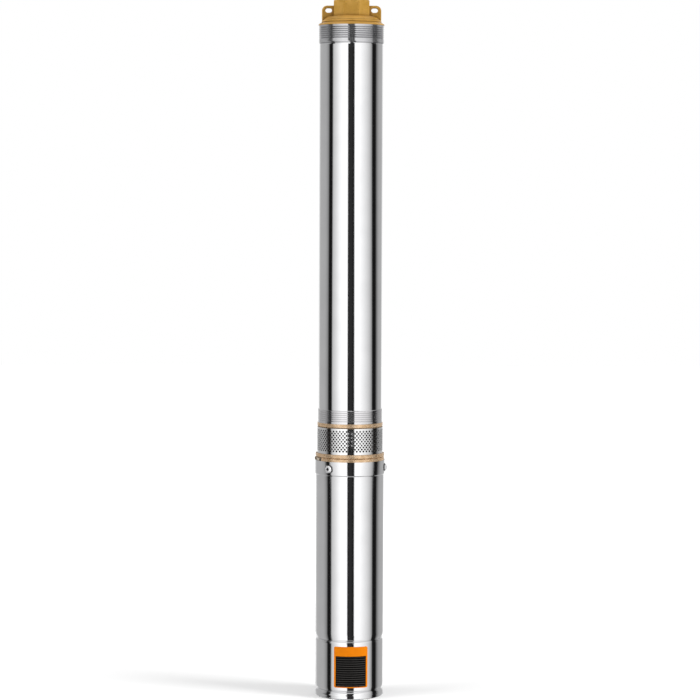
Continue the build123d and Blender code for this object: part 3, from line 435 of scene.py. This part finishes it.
finishes = {
    "stainless": polishedSteel,
    "tubeSteel": dict(polishedSteel, bands=(lowerBand, upperBand)),
    "strainerSteel": dict(tones=((0.80, 0.80, 0.80), (0.88, 0.88, 0.88)), gloss=(0.06, 0.10),
                          grainSize=1.0, grainStretch=(60, 60, 2600), bump=0.15, depth=0.00001),
    # painted shade: the inner wall of the sleeve is near black
    "paintedShadeSleeveInside": dict(metal=0.3, tones=((0.02, 0.02, 0.02), (0.035, 0.035, 0.035)),
                         gloss=(0.55, 0.7), grainSize=700.0, bump=0.2),
    # painted shade: the walls of the holes are a darker grey than the sleeve
    "paintedShadeHoleEdge": dict(metal=0.5, tones=((0.26, 0.26, 0.26), (0.36, 0.36, 0.36)),
                     gloss=(0.4, 0.5), grainSize=900.0, bump=0.1),
    # painted shade: dark in the sockets and below the edges of the heads
    "screwSteel": dict(metal=0.8, tones=((0.86, 0.86, 0.87), (0.92, 0.92, 0.93)),
                       gloss=(0.30, 0.40), grainSize=700.0, bump=0.1, paintedShadeRadius=0.0505,
                       paintedShadeTones=((0.05, 0.05, 0.05), (0.08, 0.08, 0.08)),
                       coreGloss=(0.4, 0.5)),
    "headBrass": dict(metal=0.40, tones=((0.45, 0.245, 0.038), (0.58, 0.33, 0.074)),
                      gloss=(0.26, 0.38), cloudSize=60.0, grainSize=700.0, bump=0.35,
                      depth=0.00006, corners=(paintedHollowShade, paintedRimShade)),
    # machined on its rings, left as cast inside the sleeve, where painted shade makes it near
    # black
    "ringBrass": dict(metal=0.75, tones=((0.54, 0.36, 0.20), (0.76, 0.55, 0.36)),
                      gloss=(0.24, 0.32), cloudSize=170.0, grainSize=260.0, bump=0.2,
                      depth=0.00005, paintedShadeRadius=0.0456,
                      paintedShadeTones=((0.02, 0.014, 0.01), (0.04, 0.028, 0.02)),
                      coreGloss=(0.6, 0.75)),
    "rubber": dict(metal=0.0, tones=((0.020, 0.020, 0.021), (0.034, 0.034, 0.035)),
                   gloss=(0.5, 0.65), grainSize=1200.0, bump=0.2),
    "glandRubber": dict(metal=0.0, tones=((0.24, 0.20, 0.155), (0.34, 0.29, 0.23)),
                        gloss=(0.45, 0.6), grainSize=1200.0, bump=0.25),
    "impellerPlastic": dict(metal=0.0, tones=((0.016, 0.016, 0.018), (0.03, 0.03, 0.033)),
                            gloss=(0.36, 0.46), grainSize=1500.0, bump=0.12),
    "bowlPlastic": dict(metal=0.0, tones=((0.60, 0.57, 0.47), (0.68, 0.65, 0.55)),
                        gloss=(0.32, 0.42), grainSize=1500.0, bump=0.1),
    "shaftSteel": dict(tones=((0.62, 0.62, 0.63), (0.70, 0.70, 0.71)), gloss=(0.16, 0.26),
                       grainSize=1.0, grainStretch=(60, 60, 2200), bump=0.15),
    "bearingSteel": dict(tones=((0.60, 0.60, 0.61), (0.68, 0.68, 0.69)), gloss=(0.07, 0.14),
                         grainSize=900.0, bump=0.05),
    "laminations": dict(tones=((0.34, 0.34, 0.35), (0.44, 0.44, 0.45)), gloss=(0.38, 0.5),
                        grainSize=1.0, grainStretch=(8, 8, 2000), bump=0.5, depth=0.00008),
    "copper": dict(tones=((0.55, 0.20, 0.085), (0.72, 0.30, 0.13)), gloss=(0.25, 0.38),
                   cloudSize=160.0, grainSize=500.0, bump=0.3, depth=0.0001),
    "castAlloy": dict(tones=((0.48, 0.48, 0.49), (0.58, 0.58, 0.59)), gloss=(0.4, 0.55),
                      grainSize=900.0, bump=0.35, depth=0.00006),
    "sealCeramic": dict(metal=0.0, tones=((0.72, 0.70, 0.66), (0.80, 0.78, 0.74)),
                        gloss=(0.12, 0.2), grainSize=1500.0, bump=0.05),
    "sealCarbon": dict(metal=0.0, tones=((0.012, 0.012, 0.013), (0.022, 0.022, 0.024)),
                       gloss=(0.28, 0.36), grainSize=1500.0, bump=0.05),
}
made = {name: finishOf(name, look) for name, look in finishes.items()}
print("finishes made:", len(made))

slotFinish = {
    "stainless": "stainless", "strainer_steel": "strainerSteel", "screw_steel": "screwSteel",
    "head_brass": "headBrass", "ring_brass": "ringBrass", "rubber": "rubber",
    "gland_rubber": "glandRubber", "impeller_plastic": "impellerPlastic",
    "bowl_plastic": "bowlPlastic", "shaft_steel": "shaftSteel",
    "bearing_steel": "bearingSteel", "laminations": "laminations", "copper": "copper",
    "cast_alloy": "castAlloy", "seal_ceramic": "sealCeramic", "seal_carbon": "sealCarbon",
}


def dressNodes():
    for name, node in cadNodes.items():
        slotName = node.data.materials[0].name.split(".")[0]  # without a copy's number
        finish = "tubeSteel" if name == "pump_tube" else slotFinish[slotName]
        node.data.materials.clear()
        node.data.materials.append(made[finish])
    print("cad nodes dressed:", len(cadNodes))


dressNodes()


# Modelling helpers: everything is deselected first, then shaped in edit mode

mergeDistance = 0.000002
placeTolerance = 0.0001
smoothAngle = 35
upright = (math.pi / 2, 0, 0)
bpy.context.scene.cursor.location = (3.0, 2.0, 1.0)    # out of the way, for sortMesh


def startRing(name, corners, radius, place, turned=(0, 0, 0), scale=(1, 1, 1)):
    bpy.ops.object.select_all(action="DESELECT")
    bpy.ops.mesh.primitive_circle_add(vertices=corners, radius=radius, location=place,
                                      rotation=turned)
    ring = bpy.context.object
    ring.name = name
    ring.scale = scale
    bpy.ops.object.transform_apply(location=True, rotation=True, scale=True)
    return ring


def rollSheet(name, segments, radius, heights):
    sheet = startRing(name, segments, radius, (0, 0, heights[0]))
    bpy.ops.object.mode_set(mode="EDIT")
    bpy.ops.mesh.select_all(action="SELECT")
    for low, high in zip(heights, heights[1:]):
        bpy.ops.mesh.extrude_region_move(TRANSFORM_OT_translate={"value": (0, 0, high - low)})
    closeUp()
    return sheet


def closeUp():
    bpy.ops.mesh.select_all(action="SELECT")
    bpy.ops.mesh.remove_doubles(threshold=mergeDistance)
    bpy.ops.mesh.normals_make_consistent(inside=False)


def pickVertices(piece, test):
    bpy.ops.mesh.select_mode(type="VERT")
    bpy.ops.mesh.select_all(action="DESELECT")
    bpy.ops.object.mode_set(mode="OBJECT")
    for vertex in piece.data.vertices:
        vertex.select = test(vertex.co)
    bpy.ops.object.mode_set(mode="EDIT")


def sortMesh():
    # a vertex bevel makes its faces in no fixed order, so they are put in one from the cursor
    bpy.ops.mesh.select_all(action="SELECT")
    bpy.ops.mesh.sort_elements(type="CURSOR_DISTANCE", elements={"VERT", "EDGE", "FACE"})


def applyModifier(piece, kind, **settings):
    bpy.ops.object.mode_set(mode="OBJECT")
    modifier = piece.modifiers.new(kind.lower(), kind)
    for name, value in settings.items():
        setattr(modifier, name, value)
    bpy.ops.object.modifier_apply(modifier=modifier.name)


def windUp(piece, pitch, turns, around, corners):
    applyModifier(piece, "SCREW", axis="Z", screw_offset=pitch, iterations=turns,
                  steps=around, render_steps=around, use_merge_vertices=False)
    bpy.ops.object.mode_set(mode="EDIT")
    bpy.ops.mesh.select_all(action="SELECT")
    bpy.ops.mesh.fill_holes(sides=corners)
    closeUp()
    bpy.ops.object.mode_set(mode="OBJECT")


def finishPiece(piece, body, slotName, *nodes):
    bpy.ops.object.shade_smooth_by_angle(angle=math.radians(smoothAngle))
    if not piece.data.materials:
        piece.data.materials.append(made[slotFinish[slotName]])
    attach(piece, body)
    if nodes:
        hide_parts(*nodes)
    print(piece.name, "has", len(piece.data.polygons), "faces")


# Strainer sleeve: a rolled sheet with 660 punched holes

sleeveLook = {
    "wall": 0.0008,
    "columns": 120,       # a hole at every second one, staggered from row to row
    "firstRow": 0.0049,   # above the foot of the sleeve
    "rowPitch": 0.00277,
    "rows": 11,
    "holeRadius": 0.00140,
    "holeSegments": 3,    # of each quarter of a hole
    "profile": 0.0858,    # of the bevel, which makes it round
}


def buildSleeve(look):
    low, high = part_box("strainer")
    radius = high.x
    pitch = look["rowPitch"]
    rows = [low.z + look["firstRow"] + n * pitch for n in range(look["rows"])]
    # a ring of vertices at each row of holes, and some above and below
    heights = [low.z, rows[0] - pitch, *rows, rows[-1] + pitch / 2, high.z]
    sleeve = rollSheet("strainerSleeve", look["columns"], radius, heights)
    step = 2 * math.pi / look["columns"]

    def isHole(place):
        row = round((place.z - rows[0]) / pitch)
        onRow = abs(place.z - rows[0] - row * pitch) < placeTolerance
        column = round(math.atan2(place.x, -place.y) / step)
        return onRow and 0 <= row < look["rows"] and (row + column) % 2 == 0

    pickVertices(sleeve, isHole)
    bpy.ops.mesh.bevel(offset=look["holeRadius"], offset_pct=0, segments=look["holeSegments"],
                       profile=look["profile"], affect="VERTICES")
    bpy.ops.mesh.select_mode(type="FACE")
    bpy.ops.mesh.delete(type="FACE")
    sortMesh()
    applyModifier(sleeve, "CAST", cast_type="CYLINDER", use_z=False, factor=1.0, size=radius,
                  use_radius_as_size=False)
    for finish in ("strainerSteel", "paintedShadeSleeveInside", "paintedShadeHoleEdge"):  # Solidify counts in this order
        sleeve.data.materials.append(made[finish])
    applyModifier(sleeve, "SOLIDIFY", thickness=look["wall"], offset=-1.0, material_offset=1,
                  material_offset_rim=2)
    finishPiece(sleeve, "pump", "strainer_steel", "strainer")


buildSleeve(sleeveLook)


# Label: a printed foil with a bare orange head and a ruled dark panel

labelLook = {
    "radius": 0.04772,    # just outside the chamber of the shell
    "thickness": 0.00012,
    "middle": 3.1,        # azimuth of its middle, in degrees
    "halfAngle": 29.6,
    "low": 0.0172,        # heights above the floor, as those of the panel
    "high": 0.0753,
    "corner": 0.0023,
    "cornerSegments": 4,
    "columns": 20,
    "border": 0.0027,
    "panel": (0.0186, 0.0617),
    "edge": 0.0012,       # from the edge of the panel to the rules
    "soft": 0.0001,
    "rulePitch": 0.0031,
    "ruleSpan": (0.40, 0.60),
    "ruleSoft": 0.05,
    "orange": (0.68, 0.185, 0.0035),
    "shade": 0.94,        # of the orange, where it is darkest
    "ink": (0.002, 0.0018, 0.0017),
    "rule": (0.050, 0.048, 0.046),
    "cloudSize": 90.0,
    "grainSize": 600.0,
    "gloss": (0.38, 0.5),
    "specular": 0.03,
}


def labelFinish(look):
    material, tree, shader, place = startFinish("labelPrint")
    parts = partsOf(tree, place)
    height = parts["Z"]
    turn = compute(tree, "ARCTAN2", parts["X"], compute(tree, "MULTIPLY", parts["Y"], -1.0))
    turn = compute(tree, "SUBTRACT", turn, math.radians(look["middle"]))
    across = compute(tree, "MULTIPLY", turn, look["radius"])
    half = math.radians(look["halfAngle"]) * look["radius"] - look["border"]
    low, high = look["panel"]
    soft = look["soft"]
    panel = compute(tree, "MULTIPLY", between(tree, across, -half, half, soft),
                    between(tree, height, low, high, soft))
    edge = look["edge"]
    field = compute(tree, "MULTIPLY", between(tree, across, edge - half, half - edge, soft),
                    between(tree, height, low + edge, high - edge, soft))
    rows = compute(tree, "FRACT", compute(tree, "DIVIDE", height, look["rulePitch"]))
    rules = between(tree, rows, *look["ruleSpan"], look["ruleSoft"])
    rules = compute(tree, "MULTIPLY", field, rules)
    cloud = noiseAt(tree, place, look["cloudSize"])
    darker = tuple(look["shade"] * part for part in look["orange"])
    orange = toneOf(tree, cloud, (look["orange"], darker))
    dark = mixed(tree, "RGBA", rules, (*look["ink"], 1), (*look["rule"], 1))
    feed(tree, shader.inputs["Base Color"], mixed(tree, "RGBA", panel, orange, dark))
    shader.inputs["Specular IOR Level"].default_value = look["specular"]
    grain = noiseAt(tree, place, look["grainSize"])
    feed(tree, shader.inputs["Roughness"], glossOf(tree, grain, look["gloss"]))
    return material


def buildLabel(look):
    width = 2 * math.radians(look["halfAngle"]) * look["radius"]
    tall = look["high"] - look["low"]
    middle = (look["low"] + look["high"]) / 2
    bpy.ops.object.select_all(action="DESELECT")
    bpy.ops.mesh.primitive_grid_add(x_subdivisions=look["columns"], y_subdivisions=1, size=1,
                                    location=(0, 0, middle), rotation=upright)
    label = bpy.context.object
    label.name = "motorLabel"
    label.scale = (width, tall, 1)
    bpy.ops.object.transform_apply(location=True, rotation=True, scale=True)
    bpy.ops.object.mode_set(mode="EDIT")
    pickVertices(label, lambda place: abs(abs(place.x) - width / 2) < placeTolerance)
    bpy.ops.mesh.bevel(offset=look["corner"], offset_pct=0, segments=look["cornerSegments"],
                       affect="VERTICES")
    sortMesh()
    applyModifier(label, "SIMPLE_DEFORM", deform_method="BEND", deform_axis="Z",
                  angle=2 * math.radians(look["halfAngle"]))
    bpy.ops.object.mode_set(mode="EDIT")
    bpy.ops.mesh.select_all(action="SELECT")
    bpy.ops.transform.translate(value=(0, -look["radius"], 0))
    bpy.ops.object.mode_set(mode="OBJECT")
    label.rotation_euler.z = math.radians(look["middle"])
    bpy.ops.object.transform_apply(rotation=True)
    applyModifier(label, "SOLIDIFY", thickness=look["thickness"], offset=1.0)
    label.data.materials.append(labelFinish(look))
    finishPiece(label, "pump", "rubber")


buildLabel(labelLook)


# Valve spring: round wire in even turns, at one length

springLook = {
    "wire": 0.0011,
    "outer": 0.0104,
    "turns": 5,
    "around": 24,
    "section": 12,
    "travel": 0.0065,
}


def buildSpring(look):
    low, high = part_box("valve_spring")
    wire = look["wire"] / 2
    length = high.z - low.z
    place = (look["outer"] / 2 - wire, 0, low.z + wire)
    spring = startRing("valveCoil", look["section"], wire, place, upright)
    pitch = (length - 2 * wire) / look["turns"]
    windUp(spring, pitch, look["turns"], look["around"], look["section"])
    finishPiece(spring, "pump", "shaft_steel", "valve_spring")
    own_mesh(spring)


buildSpring(springLook)


# Pipe thread: the crests that wind up the bore of the head

threadLook = {
    "bore": 0.0195,
    "depth": 0.0007,
    "sunk": 0.00007,      # how far the middle of the crest lies behind the bore
    "pitch": 0.002309,
    "crest": 0.8,         # height of its foot, as a share of the pitch
    "corners": 4,
    "start": 0.0205,      # below the top of the head
    "turns": 8,
    "around": 72,
}


def buildThread(look):
    low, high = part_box("discharge_head")
    place = (look["bore"] + look["sunk"], 0, high.z - look["start"])
    section = (look["depth"], look["crest"] * look["pitch"] / 2, 1)
    thread = startRing("pipeThread", look["corners"], 1, place, upright, section)
    windUp(thread, look["pitch"], look["turns"], look["around"], look["corners"])
    finishPiece(thread, "pump", "head_brass")


buildThread(threadLook)
